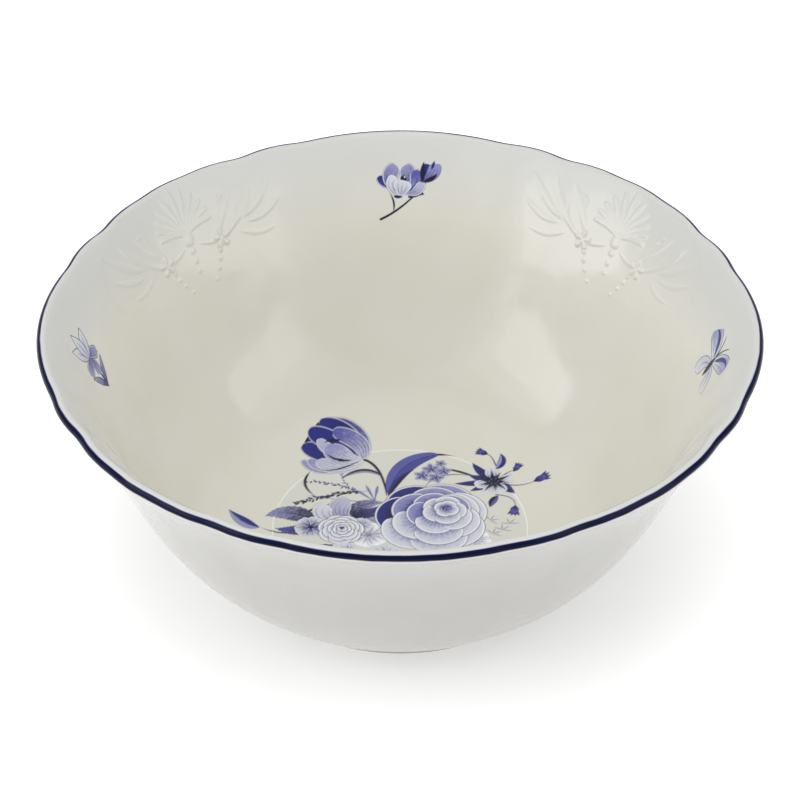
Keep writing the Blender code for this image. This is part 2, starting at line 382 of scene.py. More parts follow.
def garden_rose(art, at, heart, radius, dark_way, chance, pale=False):
    """A full rose seen from above: rings of cupped petals round a coiled heart."""
    at = np.asarray(at, float)
    heart = np.asarray(heart, float)
    art.dot(at, 0.86 * radius, MIST if pale else LILAC)
    # Each ring: reach and half width in radii, petals, span of one petal, share to heart
    rings = (
        (0.80, 0.26, 7, 84.0, 0.00),
        (0.62, 0.25, 6, 92.0, 0.25),
        (0.44, 0.21, 5, 104.0, 0.55),
        (0.28, 0.16, 5, 110.0, 0.85),
        (0.15, 0.11, 4, 130.0, 1.00),
    )
    for k, (reach, width, count, span, share) in enumerate(rings):
        middle = at + (heart - at) * share
        ways = dark_way + 360.0 * np.arange(count) / count + 31.0 * k
        ways = ways + chance.uniform(-7.0, 7.0, count)
        ways = ways[np.argsort(np.cos(np.radians(ways - dark_way)))[::-1]]
        tones = []
        for way in ways:
            shade = math.cos(math.radians(way - dark_way))
            if pale:
                tones.append((LILAC, PEARL) if shade > 0.3 else (MIST, PEARL))
            elif k >= 3:
                tones.append((VIOLET, PEARL) if shade > 0.2 else (LILAC, PEARL))
            elif shade > 0.6:
                tones.append((NIGHT, COBALT) if k == 0 else (COBALT, LILAC))
            elif shade > 0.0:
                tones.append((VIOLET, LILAC))
            else:
                tones.append((LILAC, PEARL))
        cup_ring(art, middle, reach * radius, width * radius, ways, span, tones)
    for k in range(3):
        way = 60.0 + 125.0 * k
        reach = radius * (0.095 - 0.022 * k)
        coil = ((-80, 1), (0, 1.5), (80, 1))
        path = [polar(way + lean, reach * out, heart) for lean, out in coil]
        art.stroke(path, 0.26, COBALT, strength=0.9)
    art.dot(heart, 0.35, NIGHT)


def tulip(art, base, way):
    """A tulip lying on its side: dark back petals, pale front ones, drawn as an egg."""
    # Petals from back to front: handle and tip along and across the flower's own axis,
    # half width, tones and number of veins
    petals = (
        ((7.0, 15.0), (17.4, 10.6), 1.9, (MIST, LILAC), 3),
        ((8.0, 12.5), (15.6, 9.0), 2.3, (PEARL, LILAC), 3),
        ((5.0, -13.0), (16.5, -9.6), 2.9, (LILAC, COBALT), 4),
        ((10.0, -12.0), (19.8, -6.4), 3.3, (NIGHT, COBALT), 4),
        ((14.0, 5.0), (20.4, 4.4), 3.4, (NIGHT, COBALT), 4),
        ((13.0, -4.0), (21.4, -1.6), 3.7, (COBALT, COBALT), 4),
        ((11.0, 4.0), (17.0, -1.2), 2.1, (COBALT, MIST), 4),
        ((3.0, -9.5), (14.6, -6.4), 2.9, (MIST, VIOLET), 5),
        ((4.0, 11.0), (13.0, 7.4), 2.9, (PEARL, MIST), 5),
        ((5.0, 5.0), (13.0, -0.8), 3.6, (PEARL, LILAC), 7),
    )
    body = turned(((0.0, 0.0), (10.0, -1.6), (20.6, -1.6)), way, base)
    art.petal(body, 8.6, (VIOLET, NIGHT), (0.5, 0.24), rim=0.0)
    for bend, tip, width, tones, veins in petals:
        path = turned(((0.0, 0.0), bend, tip), way, base)
        art.petal(path, 1.2 * width, tones, (0.6, 0.38), rim=0.24, veins=veins)
    # Dark folds between the front petals and under the flower
    folds = (
        ((3.0, 1.8), (7.0, 5.4), (12.0, 3.4), 0.62),
        ((10.5, -4.6), (13.5, -3.2), (15.0, -0.6), 0.60),
        ((0.6, 1.4), (5.0, 11.0), (11.0, 11.6), 0.34),
    )
    for *path, width in folds:
        art.stroke(turned(path, way, base), width)


def anemone(art, at, radius):
    """An open flower: pale round petals round a large dark heart, dark leaves behind."""
    # Leaves behind: way, reach and half width in radii
    leaves = (
        (126, 2.1, 0.26), (158, 1.55, 0.26), (186, 2.3, 0.24), (214, 1.65, 0.24), (316, 1.7, 0.30)
    )
    for way, reach, width in leaves:
        tip = polar(way, reach * radius, at)
        bend = polar(way + 7, 0.6 * reach * radius, at)
        art.petal((at, bend, tip), width * radius, (NIGHT, COBALT), LEAF, rim=0.0, veins=2)
    for way in (98.0, 12.0, 252.0, 300.0, 200.0):
        tip = polar(way, 1.16 * radius, at)
        art.petal((at, tip), 0.38 * radius, (LILAC, PEARL), rim=0.22, line=0.16, veins=3)
    for i in range(20):
        way = 18.0 * i + 7.0 * (i % 2)
        reach = radius * (0.70, 1.12, 0.62, 0.92)[i % 4]
        art.stroke((at, polar(way, reach, at)), 0.62, NIGHT, ends=(0.2, 1.0))
    art.dot(at, 0.42 * radius, NIGHT)
    for i in range(6):
        art.dot(polar(60.0 * i, 0.26 * radius, at), 0.20, LILAC, 0.7)


# ---------------------------------------------------------- the transfers


def draw_bouquet(art):
    """Tulip, rose, anemone and filler flowers, many placed as on the photographed print."""
    chance = np.random.default_rng(11)
    # Fine stems and grasses first, under everything
    seed_spike(art, ((-13, 18), (-18, 23.5), (-31, 24.5)), 15, 1.5, chance, COBALT)
    seed_spike(art, ((-11, 19.5), (-22, 18.5), (-34, 13.0)), 24, 1.9, chance)
    seed_spike(art, ((-17, 21.5), (-20, 26), (-20.0, 31)), 8, 1.2, chance, VIOLET)
    art.stroke(((-29.8, 30.0), (-34.5, 23.0), (-28.0, 16.5)), 0.48)
    art.stroke(((-10, 13.5), (-20, 14.5), (-30, 17)), 0.20, VIOLET, ends=STEM)
    art.stroke(((-13, 11.5), (-22, 15.0), (-27, 10.0)), 0.40)
    art.stroke(((-26, 10.5), (-29, 10.5), (-32, 6.5)), 0.46)
    blades = (
        ((-8.5, 14.5), (-11.4, 22.4)),
        ((-8.5, 14.5), (-7.6, 22.4)),
        ((-9, 14.5), (-14.5, 20)),
    )
    for root, tip in blades:
        art.stroke((root, tip), 0.55, LILAC, ends=(1.6, 0.7))
        art.stroke((root, tip), 0.16, COBALT, ends=STEM)
    # Long leaves and the tulip on its stem
    art.stroke(((-12.7, 36.7), (-6.2, 34.0), (-4.5, 17.0)), 0.60, NIGHT, ends=STEM)
    two_tone_leaf(art, ((-6.2, 27.5), (-12.0, 34.0), (-19.5, 26.5)), 0.90, NIGHT, LILAC)
    art.stroke(((8.0, 39.0), (13.0, 40.0), (18.0, 38.4)), 0.42)
    long_leaf = ((-3.9, 18.0), (-2.6, 28.0), (1.5, 38.0), (12.5, 39.4))
    two_tone_leaf(art, long_leaf, 3.2, (COBALT + VIOLET) / 2, VIOLET, (0.8, 0.7))
    two_tone_leaf(art, ((-4.0, 17.0), (-1.2, 27.0), (4.0, 31.0)), 1.0, NIGHT, COBALT)
    tulip(art, (-12.7, 36.7), 154.0)
    # Starry cluster between leaf and anemone
    art.stroke(((8, 22), (12, 31), (24, 28)), 0.24)
    art.stroke(((13, 32), (19, 31.5), (27, 26)), 0.55, NIGHT)
    cluster = (
        (7.2, 28.0, 3.0), (10.0, 31.6, 3.1), (11.6, 27.0, 3.0), (14.2, 30.4, 2.8), (13.2, 34.6, 2.0)
    )
    for x, y, reach in cluster:
        star_blossom(art, np.array((x, y)), reach, chance.uniform(0, 72))
    # Anemone, its buds and leaves
    buds = (
        ((27.4, 39.4), 152.0, 2.0, (31.6, 33.0), (30.4, 38.0)),
        ((38.4, 30.8), 58.0, 1.9, (33.5, 27.5), (36.0, 30.0)),
        ((46.2, 24.4), 22.0, 2.6, (35.0, 23.5), (40.0, 21.5)),
        ((37.6, 10.2), 262.0, 2.5, (31.5, 18.0), (38.5, 17.5)),
    )
    for spot, way, size, start, bend in buds:
        back = polar(way + 180.0, 0.6 * size, spot)
        art.stroke((start, bend, back), 0.24, COBALT, ends=STEM)
        tufted_bud(art, np.array(spot), way, size)
    two_tone_leaf(art, ((31.6, 31.4), (34.8, 34.0), (33.2, 38.2)), 1.3, COBALT, LILAC)
    two_tone_leaf(art, ((32.2, 17.4), (30.0, 14.6), (29.6, 11.4)), 1.2, NIGHT, VIOLET)
    anemone(art, np.array((30.8, 25.2)), 5.6)
    # Left side: leaves, pansies and a small pale rose
    two_tone_leaf(art, ((-46.0, -0.8), (-51.5, -0.6), (-56.0, 5.2)), 2.3, COBALT, LILAC)
    art.stroke(((-34, -3), (-40, -3.4), (-45.5, -0.8)), 0.30)
    veined_leaf(art, ((-27.5, 3.5), (-36.0, 10.5), (-44.0, 5.6)), 3.7, (NIGHT, LILAC))
    veined_leaf(art, ((-27.0, 1.0), (-33.0, -3.0), (-40.5, -0.6)), 2.4, (NIGHT, VIOLET))
    veined_leaf(art, ((-15.0, 5.0), (-16.0, 13.0), (-6.0, 13.5)), 2.6, (NIGHT, LILAC), 8)
    veined_leaf(art, ((-16.0, 5.5), (-9.0, 7.0), (-4.0, 12.5)), 2.2, (NIGHT, VIOLET), 8)
    veined_leaf(art, ((-16.0, 3.5), (-9.0, 2.0), (-4.5, 6.5)), 2.2, (COBALT, MIST), 8)
    art.petal(((-17.5, 2.0), (-23.0, 12.0), (-16.6, 14.0)), 3.8, (LILAC, MIST), rim=0.2, veins=5)
    art.petal(((-21.0, 2.0), (-28.5, 8.0), (-24.0, 12.0)), 3.2, (MIST, PEARL), rim=0.2, veins=3)
    round_blossom(art, np.array((-29.2, 0.2)), 5.4, 5, (COBALT, PEARL), 64.0)
    round_blossom(art, np.array((-10.2, -3.6)), 6.4, 6, (MIST, WHITE), 10.0, GREY)
    round_blossom(art, np.array((-12.6, 1.6)), 3.6, 5, (LILAC, PEARL), 40.0, GREY)
    garden_rose(art, (-19.4, -1.0), (-19.0, -0.2), 7.2, 110.0, chance, pale=True)
    # Near side, below the rose: more pale blossoms and leaves close the oval
    veined_leaf(art, ((20, -8), (27, -17), (35, -18)), 3.0, (COBALT, LILAC))
    veined_leaf(art, ((-22, -9), (-31, -14), (-36, -22)), 3.2, (COBALT, LILAC))
    veined_leaf(art, ((2, -14), (4, -24), (-3, -31)), 3.0, (COBALT, LILAC))
    veined_leaf(art, ((8, -14), (14, -22), (22, -27)), 2.6, (NIGHT, VIOLET))
    round_blossom(art, np.array((-18.0, -13.6)), 5.6, 5, (LILAC, PEARL), 30.0)
    round_blossom(art, np.array((-5.2, -14.8)), 6.2, 6, (MIST, PEARL), 0.0, GREY)
    round_blossom(art, np.array((24.6, -6.0)), 5.2, 5, (MIST, WHITE), 50.0, GREY)
    # Faint filler to the right of the rose
    for x, y, turn in ((29.5, 4.4, 10), (33.4, -0.6, 40), (30.4, -2.6, 25), (36.0, 2.6, 60)):
        for lean in (0.0, 50.0, -50.0, 110.0):
            tip = polar(turn + lean, 3.2, (x, y))
            art.stroke(((x, y), tip), 0.22, GREY, strength=0.9)
    garden_rose(art, (10.4, 5.4), (15.2, 10.4), 17.8, 122.0, chance)


def draw_rose_sprig(art):
    """An open rosebud and a dark bud on one bent stem, laid out as on the photographed print."""
    art.stroke(((-9.6, -11.0), (-3.0, -8.5), (2.2, -3.6), (6.0, 1.4)), 0.42, NIGHT, STEM)
    art.stroke(((-5.2, -8.6), (-4.0, -6.0), (-6.2, -2.2)), 0.34, NIGHT)
    two_tone_leaf(art, ((0.2, -3.8), (2.6, -1.2), (5.4, -2.6)), 1.2, NIGHT, COBALT)
    art.petal(((-4.8, -3.4), (-2.0, -3.6)), 0.5, (NIGHT, COBALT), LEAF, rim=0.0)
    art.petal(((-3.6, -0.4), (-8.4, 0.6), (-9.6, 3.6)), 1.6, (VIOLET, COBALT), rim=0.16)
    art.petal(((-2.6, -2.4), (-8.6, 3.0), (-3.8, 6.8)), 2.6, (COBALT, LILAC), rim=0.2, veins=4)
    art.petal(((-2.2, -2.4), (1.8, 3.0), (-1.4, 6.9)), 2.7, (NIGHT, LILAC), rim=0.2, veins=4)
    art.petal(((-1.8, -2.6), (5.6, 1.2), (1.6, 5.0)), 2.4, (LILAC, VIOLET), rim=0.2, veins=3)
    art.petal(((-1.0, -2.4), (4.6, -2.2), (4.2, 1.6)), 1.6, (LILAC, MIST), rim=0.18, veins=3)
    art.petal(((-2.4, -2.8), (-7.0, -0.6), (-4.4, 3.4)), 2.0, (MIST, PEARL), rim=0.2, veins=3)
    art.dot((-1.6, 2.6), 1.0, NIGHT)
    art.dot((-1.2, 3.1), 0.28, PEARL)
    art.petal(((-2.6, -3.2), (-1.6, 2.0)), 3.0, (MIST, PEARL), rim=0.2, veins=4)
    art.stroke(((0.2, -1.8), (1.6, -0.6), (2.4, 0.8)), 0.22, COBALT)
    art.petal(((4.6, 1.6), (6.6, 7.6)), 1.7, (NIGHT, COBALT), rim=0.0)
    art.petal(((4.8, 1.6), (9.2, 4.4), (8.6, 8.0)), 2.1, (VIOLET, LILAC), rim=0.0, veins=4)
    art.stroke(((5.0, 1.8), (4.4, 4.6), (5.0, 8.6)), 0.80)
    art.stroke(((5.0, 1.8), (8.0, 2.4), (9.6, 4.8)), 0.70)
    art.stroke(((7.6, 6.0), (8.4, 9.0)), 0.50, COBALT)


def draw_iris(art):
    """A textbook iris: two blades of leaf, a stem, three falls and three standing petals."""
    foot = (0.0, -11.4)
    heart = (0.0, 0.6)
    for side in (-1.0, 1.0):
        blade = (foot, (side * 2.2, -7.6), (side * 6.8, -3.6))
        art.petal(blade, 1.1, (COBALT, LILAC), LEAF, rim=0.0, line=0.34)
    art.stroke((foot, (0.5, -6.0), heart), 0.55, NIGHT, STEM)
    for degrees in (200.0, 270.0, 340.0):
        fall = (heart, polar(degrees + 22.0, 3.6, heart), polar(degrees, 7.0, heart))
        art.petal(fall, 1.9, (VIOLET, LILAC), rim=0.14, line=0.4, veins=3)
    for degrees in (52.0, 128.0, 90.0):
        standing = (heart, polar(degrees, 5.0, heart), polar(degrees, 10.0, heart))
        art.petal(standing, 2.1, (MIST, PEARL), LEAF, rim=0.1, line=0.4, veins=2)


def draw_butterfly(art):
    """A textbook butterfly, the same on both sides: two pairs of wings, a body and feelers."""
    for side in (-1.0, 1.0):
        hind = ((0.0, -0.6), (side * 5.6, -1.6), (side * 5.8, -7.8))
        art.petal(hind, 2.5, (MIST, PEARL), rim=0.16, line=0.34, veins=2)
        fore = ((0.0, 0.8), (side * 4.6, 5.6), (side * 10.6, 7.0))
        art.petal(fore, 3.0, (PEARL, LILAC), rim=0.16, line=0.34, veins=4)
        art.stroke(((side * 1.0, 1.8), (side * 5.2, 8.4), (side * 10.6, 7.4)), 0.80, COBALT)
        art.stroke(((0.0, 3.4), (side * 0.8, 7.0), (side * 3.4, 9.8)), 0.34, NIGHT, STEM)
    art.stroke(((0.0, -5.4), (0.0, -1.0), (0.0, 3.8)), 1.20)


def draw_bellflowers(art):
    """Two bellflowers and a bud on an upright stem."""
    art.stroke(((-1.6, -10.6), (0.6, -4.0), (-0.6, 2.0), (1.4, 8.0)), 0.38, NIGHT, STEM)
    two_tone_leaf(art, ((-0.6, -6.4), (-4.8, -5.6), (-7.0, -1.8)), 1.3, NIGHT, VIOLET)
    two_tone_leaf(art, ((0.0, -4.4), (3.8, -4.6), (6.8, -1.6)), 1.2, COBALT, LILAC)
    for root, way, size in (((-0.4, 1.2), 196.0, 6.2), ((0.2, 3.8), -8.0, 5.8)):
        for lean, width in ((-24.0, 0.24), (24.0, 0.24), (0.0, 0.28)):
            tip = polar(way + lean, size, root)
            bend = polar(way + 1.5 * lean, 0.5 * size, root)
            tones = (COBALT, LILAC) if lean else (VIOLET, PEARL)
            art.petal((root, bend, tip), width * size, tones, rim=0.14, veins=3)
    tufted_bud(art, np.array((1.6, 8.4)), 78.0, 1.7)


# Share of the leaves' full relief that is kept, so that the sprays stay soft
LEAF_RELIEF = 0.55


def raise_spray(art):
    """A tone-on-tone spray: a palmette under the lip, scrolls, leaves and berries."""
    for k in range(-5, 6):
        reach = 17.5 - 1.1 * abs(k)
        tip = polar(90.0 - 15.0 * k, reach, (0.0, -7.5))
        bend = polar(90.0 - 11.0 * k, 0.6 * reach, (0.0, -7.5))
        art.emboss(((0.0, -7.5), bend, tip), 1.35, ROUND, 0.20)
    art.stud((0.0, -8.6), 2.2, 0.34)
    for side in (-1.0, 1.0):
        for shape in (
            (((2, -10), (13, -17), (27, -8), (21, 1)), 1.1, LEAF, 0.42),
            (((21, 1), (16, 3), (16, -3)), 0.9, LEAF, 0.36),
            (((11, -12), (17, -4), (24, 7)), 1.9, LEAF, 0.36),
            (((18, -11), (27, -4), (30, 8)), 2.1, LEAF, 0.36),
            (((22, -9), (32, -4), (39, 6)), 2.0, LEAF, 0.36),
            (((24, -10), (33, -10), (41, -3)), 1.6, LEAF, 0.32),
            (((20, -12), (28, -16), (36, -14)), 1.3, LEAF, 0.30),
        ):
            points, width, ends, rise = shape
            art.emboss([(side * x, y) for x, y in points], width, ends, LEAF_RELIEF * rise)
        middle = (side * 13.0, -12.5)
        for i in range(5):
            art.emboss((middle, polar(72.0 * i + 18.0, 3.4, middle)), 1.3, ROUND, 0.45)
        art.stud(middle, 0.9, 0.34)
        trail = [(side * x, y) for x, y in ((11, -16), (10, -20), (6, -25))]
        for i, spot in enumerate(bezier(trail, np.linspace(0.0, 1.0, 4))):
            art.stud(spot, 0.95 - 0.12 * i, 0.26)
    for i in range(3):
        art.stud((0.0, -12.5 - 3.6 * i), 1.1 - 0.2 * i, 0.26)


# ------------------------------------------------------- the bowl's surface


def sharp_edge_radius(angle):
    """Radius of the scallops alone, which meet in a crease at every notch."""
    folded = np.abs((np.degrees(angle) + 45.0) % 90.0 - 45.0)
    result = np.zeros_like(folded)
    for i, crest in enumerate(CREST_RADII):
        low, high = LOBE_LIMITS[i], LOBE_LIMITS[i + 1]
        share = np.clip((folded - low) / (high - low), 0.0, 1.0)
        base = NOTCH_RADII[i] + (NOTCH_RADII[i + 1] - NOTCH_RADII[i]) * share
        middle = (NOTCH_RADII[i] + NOTCH_RADII[i + 1]) / 2
        bump = np.sin(math.pi * share).clip(0.0) ** LOBE_ROUNDNESS
        result = np.where(folded >= low, base + (crest - middle) * bump, result)
    return result


def edge_radius(angle):
    """Radius of the scalloped edge at angles round the bowl, its notches softened."""
    spread = np.radians(NOTCH_SOFTNESS) * np.linspace(-1.0, 1.0, 9)
    return np.mean([sharp_edge_radius(angle + turn) for turn in spread], axis=0)


def lobed(radius, height, angle):
    """Section points turned into space, drawn in and down by the scallops."""
    rise = np.clip((height / HEIGHT - LOBES_FADE_FROM) / (1.0 - LOBES_FADE_FROM), 0.0, 1.0)
    drawn = (CREST_RADII[0] - edge_radius(angle)) * rise**LOBES_FADE_POWER
    reach = radius * (1.0 - drawn / RIM_RADIUS)
    across = reach * np.cos(angle)
    deep = reach * np.sin(angle)
    return np.stack((across, deep, height - LIP_DIP * drawn), axis=-1)


def lobe_angles():
    limits = list(LOBE_LIMITS) + [90.0 - a for a in reversed(LOBE_LIMITS[1:-2])]
    angles = []
    for quarter in range(4):
        for low, high, steps in zip(limits, limits[1:], LOBE_STEPS):
            angles.append(90.0 * quarter + np.linspace(low, high, steps, endpoint=False))
    return np.radians(np.concatenate(angles))


def outward(direction):
    return np.stack((direction[..., 1], -direction[..., 0]), axis=-1)


LIP_CENTRE = np.array((RIM_RADIUS - LIP_RADIUS, HEIGHT - LIP_RADIUS))
TO_LIP = LIP_CENTRE - np.array(SHOULDER_HANDLE)
WALL_SLOPE = -math.degrees(math.atan2(TO_LIP[0], TO_LIP[1]))


def lip_point(slope, radius=LIP_RADIUS):
    turn = np.radians(slope)
    return LIP_CENTRE + radius * np.stack((np.cos(turn), np.sin(turn)), axis=-1)


WALL = ((JOINT_RADIUS, UNDERSIDE_Z), BELLY_HANDLE, SHOULDER_HANDLE, lip_point(WALL_SLOPE))


def wall_direction(t):
    reach = 1e-4
    step = bezier(WALL, np.asarray(t) + reach) - bezier(WALL, np.asarray(t) - reach)
    return step / np.linalg.norm(step, axis=-1, keepdims=True)


def inner_wall(t):
    t = np.asarray(t, float)
    thickness = WALL_AT_FOOT + (2 * LIP_RADIUS - WALL_AT_FOOT) * t
    return bezier(WALL, t) - thickness[..., None] * outward(wall_direction(t))


def inside_profile(floor_steps, cove_steps, wall_steps):
    """The inside from near the axis to the lip's inner tangent point."""
    rise = math.radians(COVE_RISE)
    start = np.array((WELL_RADIUS, WELL_Z))
    end = inner_wall(COVE_END)
    first = start + COVE_PULL * np.array((math.cos(rise), math.sin(rise)))
    second = end - COVE_PULL * wall_direction(COVE_END)
    floor = np.linspace(WELL_RADIUS / floor_steps, WELL_RADIUS, floor_steps, endpoint=False)
    floor = np.stack((floor, np.full(floor_steps, WELL_Z)), axis=-1)
    wall = inner_wall(np.linspace(COVE_END, 1.0, wall_steps))
    crest = WELL_RADIUS + RIDGE_WIDTH * np.linspace(-2.4, -0.3, 8)
    crest = np.stack((crest, np.full(len(crest), WELL_Z)), axis=-1)
    floor = floor[floor[:, 0] < crest[0, 0] - RIDGE_WIDTH]
    fine = RIDGE_WIDTH * np.linspace(0.0, 2.7, 10) / (3 * COVE_PULL)
    steps = np.linspace(0.0, 1.0, cove_steps, endpoint=False)
    steps = np.concatenate((fine, steps[steps > fine[-1] + 0.5 / cove_steps]))
    cove = bezier((start, first, second, end), steps)
    profile = np.concatenate((floor, crest, cove, wall))
    ridge = np.exp(-(((profile[:, 0] - WELL_RADIUS) / RIDGE_WIDTH) ** 2))
    profile[:, 1] += RIDGE_HEIGHT * ridge
    return profile


class Inside:
    """The inside as a surface: travel along the section from the axis, and the angle."""

    def __init__(self):
        centre = np.array(((0.0, WELL_Z),))
        self.points = np.concatenate((centre, inside_profile(120, 160, 400)))
        steps = np.linalg.norm(np.diff(self.points, axis=0), axis=1)
        self.travel = np.concatenate(((0.0,), np.cumsum(steps)))

    def section(self, travel):
        radius = np.interp(travel, self.travel, self.points[:, 0])
        height = np.interp(travel, self.travel, self.points[:, 1])
        return np.stack((radius, height), axis=-1)

    def travel_at(self, height):
        on_wall = self.points[:, 0] > WELL_RADIUS + 3 * RIDGE_WIDTH
        return float(np.interp(height, self.points[on_wall, 1], self.travel[on_wall]))

    def place(self, travel, angle, lift):
        reach = 0.0004
        ahead = self.section(travel + reach) - self.section(np.maximum(travel - reach, 0.0))
        ahead /= np.linalg.norm(ahead, axis=-1, keepdims=True)
        spot = self.section(travel) - lift[:, None] * outward(ahead)
        return lobed(spot[:, 0], spot[:, 1], angle)


INSIDE = Inside()


def on_wall(height, degrees):
    """Lays flat millimetres on the wall round a point at a height and an angle."""
    start = INSIDE.travel_at(height)
    radius = INSIDE.section(start)[0]

    def place(flat, lift):
        angle = math.radians(degrees) - flat[:, 0] / 1000.0 / radius
        return INSIDE.place(start + flat[:, 1] / 1000.0, angle, lift)

    return place


def in_well(flat, lift):
    """Lays flat millimetres on the well and up the wall round it, by plan position."""
    radius = np.hypot(flat[:, 0], flat[:, 1]) / 1000.0
    travel = np.interp(radius, INSIDE.points[:, 0], INSIDE.travel)
    return INSIDE.place(travel, np.arctan2(flat[:, 1], flat[:, 0]), lift)


# ---------------------------------------------------------------- meshes


def grid_faces(rows, columns, closed=False):
    """Quads between the rows of a grid of points, closed round its columns if asked."""
    index = np.arange(rows * columns).reshape(rows, columns)
    if closed:
        index = np.concatenate((index, index[:, :1]), axis=1)
    corners = (index[:-1, :-1], index[:-1, 1:], index[1:, 1:], index[1:, :-1])
    return np.stack([c.ravel() for c in corners], axis=-1)


def new_object(name, points, faces, look):
    mesh = bpy.data.meshes.new(name)
    mesh.from_pydata(points.tolist(), [], [list(f) for f in faces])
    mesh.materials.append(look)
    mesh.shade_smooth()
    made = bpy.data.objects.new(name, mesh)
    bpy.context.scene.collection.objects.link(made)
    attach(made, "root")
    return made


def turned_piece(name, profile, look, poles=(None, None)):
    """A turned, scalloped piece; a pole closes an end of the profile on the axis."""
    angles = lobe_angles()
    rings = lobed(profile[:, :1], profile[:, 1:], angles[None, :])
    count = len(angles)
    points = rings.reshape(-1, 3)
    closed = poles == (None, None)
    faces = grid_faces(len(profile) + closed, count, True) % len(points)
    faces = faces.tolist()
    for end, height in enumerate(poles):
        if height is None:
            continue
        first = 0 if end == 0 else len(points[: len(profile) * count]) - count
        points = np.concatenate((points, ((0.0, 0.0, height),)))
        for i in range(count):
            edge = (first + i, first + (i + 1) % count)
            edge = edge[::-1] if end == 0 else edge
            faces.append((*edge, len(points) - 1))
    return new_object(name, points, faces, look)


def paint_on(made, ink_colours, cover):
    """Stores ink and cover on the points, where the glaze's material reads them."""
    values = np.concatenate((ink_colours, cover[:, None]), axis=1).astype(np.float32)
    layer = made.data.color_attributes.new(name="ink", type="FLOAT_COLOR", domain="POINT")
    layer.data.foreach_set("color", values.ravel())


def mark_painted_outside_shade(made, share):
    """Stores how far each point belongs to the outside, where the glaze is painted greyer and
    darker as shade.
    """
    values = np.repeat(np.asarray(share, np.float32)[:, None], 4, axis=1)
    layer = made.data.color_attributes.new(name="outside", type="FLOAT_COLOR", domain="POINT")
    layer.data.foreach_set("color", values.ravel())


def skin(name, place, middle, size, tilt, cells, draw, look):
    """A thin skin with a smooth oval outline that carries a drawing or a relief."""
    columns, rows = cells
    u, v = np.meshgrid(np.linspace(-1, 1, columns), np.linspace(-1, 1, rows))
    across = (u * np.sqrt(1.0 - v * v / 2.0)).ravel()
    up = (v * np.sqrt(1.0 - u * u / 2.0)).ravel()
    flat = np.stack((size[0] * across, size[1] * up), axis=-1)
    flat = turned(flat, tilt) + np.asarray(middle)
    art = Drawing(flat, 2.0 * size[0] / columns)
    draw(art)
    points = place(flat, FILM_LIFT + art.relief / 1000.0)
    made = new_object(name, points, grid_faces(rows, columns), look)
    paint_on(made, art.ink, art.cover)
    return made


def body_profile():
    """The body's section from the axis of the inside, over the lip, to the underside."""
    inside = inside_profile(14, 16, 46)
    lip = lip_point(np.linspace(180.0 + WALL_SLOPE, WALL_SLOPE, 17)[1:-1])
    outside = bezier(WALL, np.linspace(1.0, 0.0, 48))
    under = np.linspace(JOINT_RADIUS, 0.004, 6)[1:]
    under = np.stack((under, np.full(len(under), UNDERSIDE_Z)), axis=-1)
    return np.concatenate((inside, lip, outside, under))


def make_body(look):
    profile = body_profile()
    body = turned_piece("bowl_shell", profile, look, (WELL_Z, UNDERSIDE_Z))
    # Painted shade: from just past the top of the lip, the outside takes the greyer, darker glaze
    # colour
    lip = int(np.argmax(profile[:, 1]))
    past = np.linalg.norm(np.diff(profile[lip:], axis=0), axis=1).cumsum()
    share = np.concatenate((np.zeros(lip + 1), smooth(past / 0.004)))
    mark_painted_outside_shade(body, np.concatenate((np.repeat(share, len(lobe_angles())), (0.0, 1.0))))
    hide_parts("bowl_body")


def make_foot(look):
    """A short ring that flares into the wall above it, its treading edge rounded."""
    inner = bezier(FOOT_INNER, np.linspace(0, 1, 8))
    tread = bezier(FOOT_TREAD, np.linspace(0, 1, 9))
    tread_out = bezier(FOOT_TREAD_OUT, np.linspace(0, 1, 9))
    outer = bezier(FOOT_OUTER, np.linspace(0, 1, 12))
    profile = np.concatenate((inner[:-1], tread, tread_out[1:-1], outer))
    foot = turned_piece("foot", profile, look)
    # The whole foot takes the painted shade of the outside
    mark_painted_outside_shade(foot, np.ones(len(foot.data.vertices)))
    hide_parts("foot_ring")


def make_band(look):
    """The cobalt band on the outer side of the lip, with brushed edges."""
    slopes = np.linspace(*BAND_STRIP, 24)
    profile = lip_point(slopes, LIP_RADIUS + FILM_LIFT)
    angles = lobe_angles()
    points = lobed(profile[:, :1], profile[:, 1:], angles[None, :])
    band = new_object(
        "cobalt_band", points.reshape(-1, 3), grid_faces(len(profile), len(angles), True), look
    )
    chance = np.random.default_rng(3)
    waver = np.zeros((2, len(angles)))
    for count in (5, 11, 19, 34, 61, 97):
        for row in waver:
            row += np.sin(count * angles + chance.uniform(0, 2 * math.pi)) / 6.0
    # Millimetres inside the brushed edge above, and inside the one below
    scale = math.radians(1000.0 * LIP_RADIUS)
    above = (BAND_FROM + BAND_SWING * np.sin(angles) - slopes[:, None]) * scale
    below = (slopes[:, None] - BAND_TO) * scale
    above = above + 0.12 * waver[0]
    cover = smooth(above / 0.25 + 0.5) * smooth((below + 0.16 * waver[1]) / 0.35 + 0.5)
    tone = COBALT + (BAND_BLUE - COBALT) * smooth(above / 0.4)[..., None]
    tone = tone * (1.0 + 0.25 * waver[0][None, :, None])
    paint_on(band, (tone * cover[..., None]).reshape(-1, 3), cover.ravel())
    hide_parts("rim_band")


# ------------------------------------------------------------- materials


